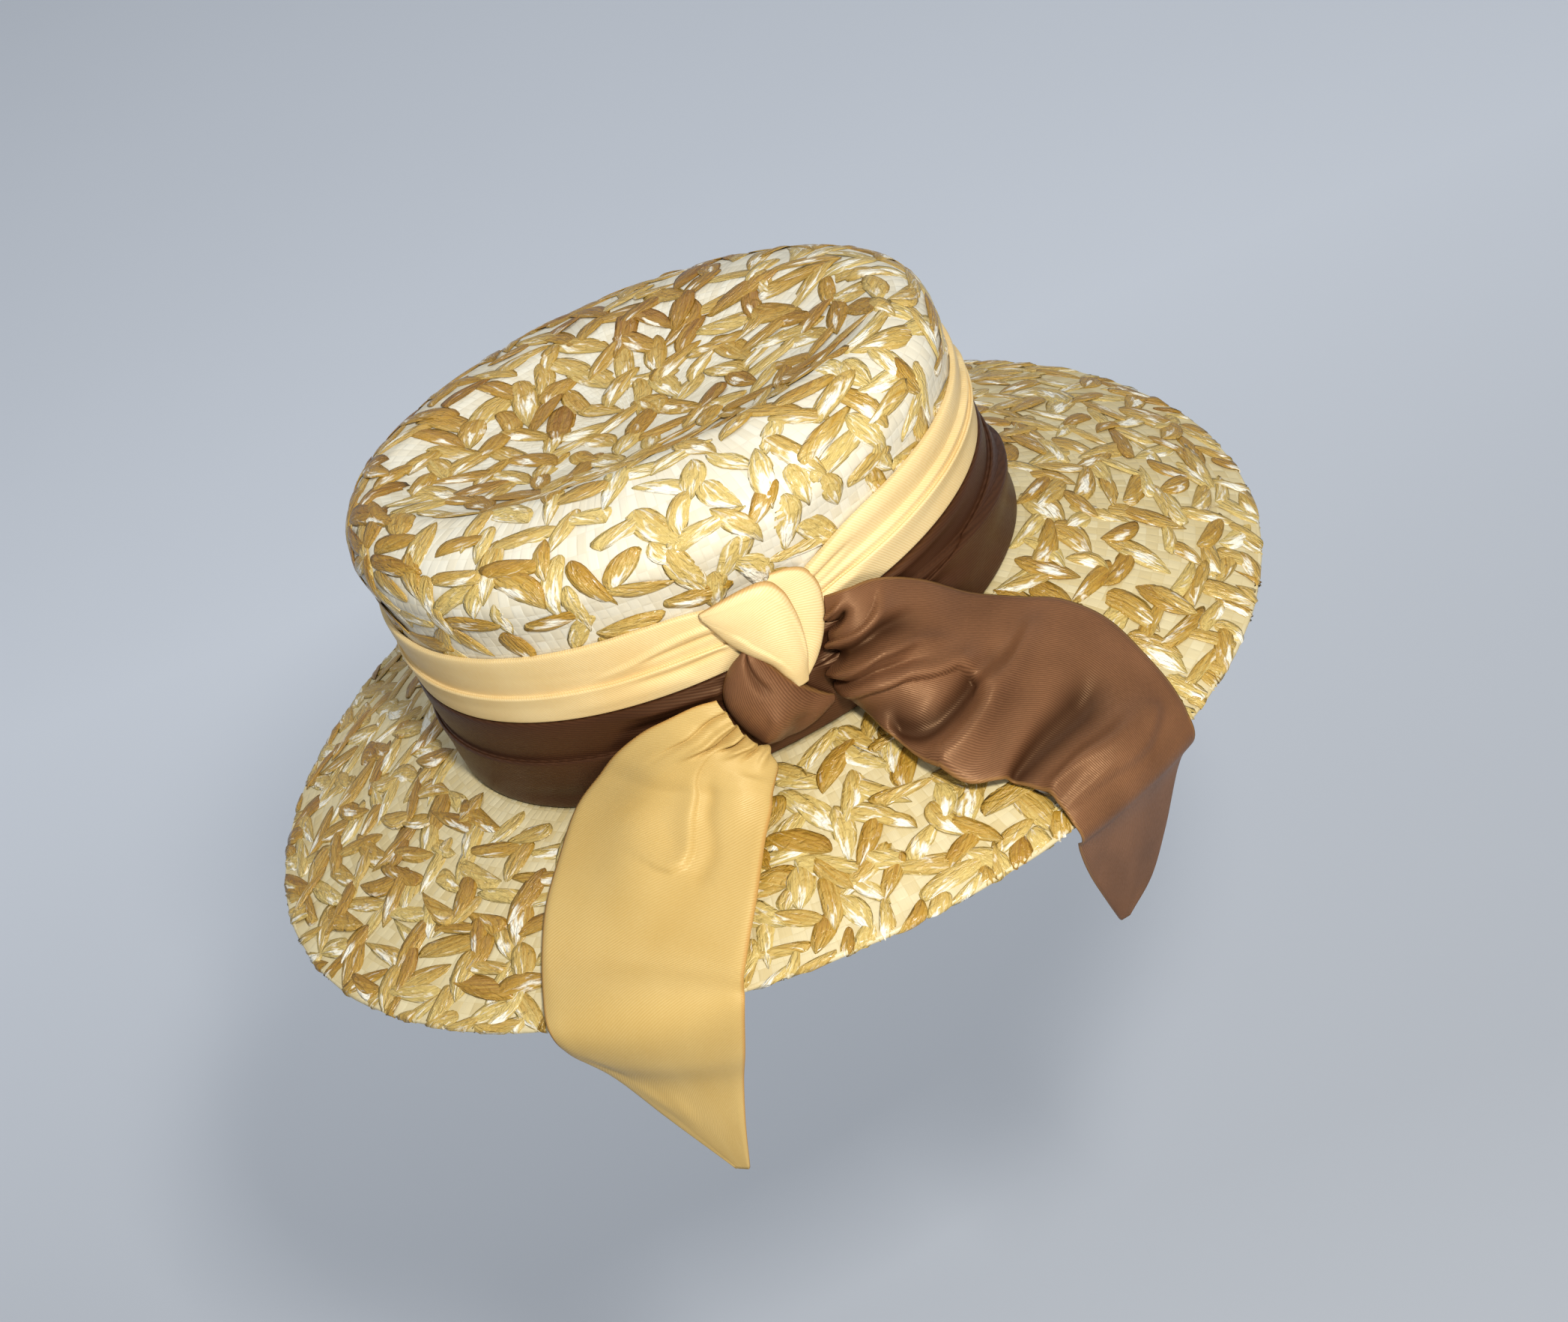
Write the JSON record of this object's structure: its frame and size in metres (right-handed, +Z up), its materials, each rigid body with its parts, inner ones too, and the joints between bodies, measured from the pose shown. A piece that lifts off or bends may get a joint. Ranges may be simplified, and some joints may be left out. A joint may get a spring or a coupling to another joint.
{
  "type": "leaf-straw hat with a ribbon band",
  "caption": "Wide-brimmed leaf-straw hat with a dished crown and a two-tone ribbon band, knotted at the side with hanging ends.",
  "frame": {"origin": "centre of the head opening, at the mean height of the line where crown and brim meet", "axes": "+Z up the crown, +X to the wearer's front, +Y to the wearer's left; the knot is on the wearer's right"},
  "size_m": [0.356, 0.3316, 0.189],
  "materials": {
    "straw": "pale basket straw with glossy golden leaf-shaped floats",
    "yellow_ribbon": "yellow satin ribbon with a fine rib",
    "brown_ribbon": "dark brown satin ribbon with a bronze sheen"
  },
  "bodies": {
    "root": {"crown": "straw", "brim": "straw", "band_yellow": "yellow_ribbon", "band_brown": "brown_ribbon", "knot_yellow": "yellow_ribbon", "knot_brown": "brown_ribbon", "tail_yellow": "yellow_ribbon", "tail_brown": "brown_ribbon"}
  },
  "joints": []
}
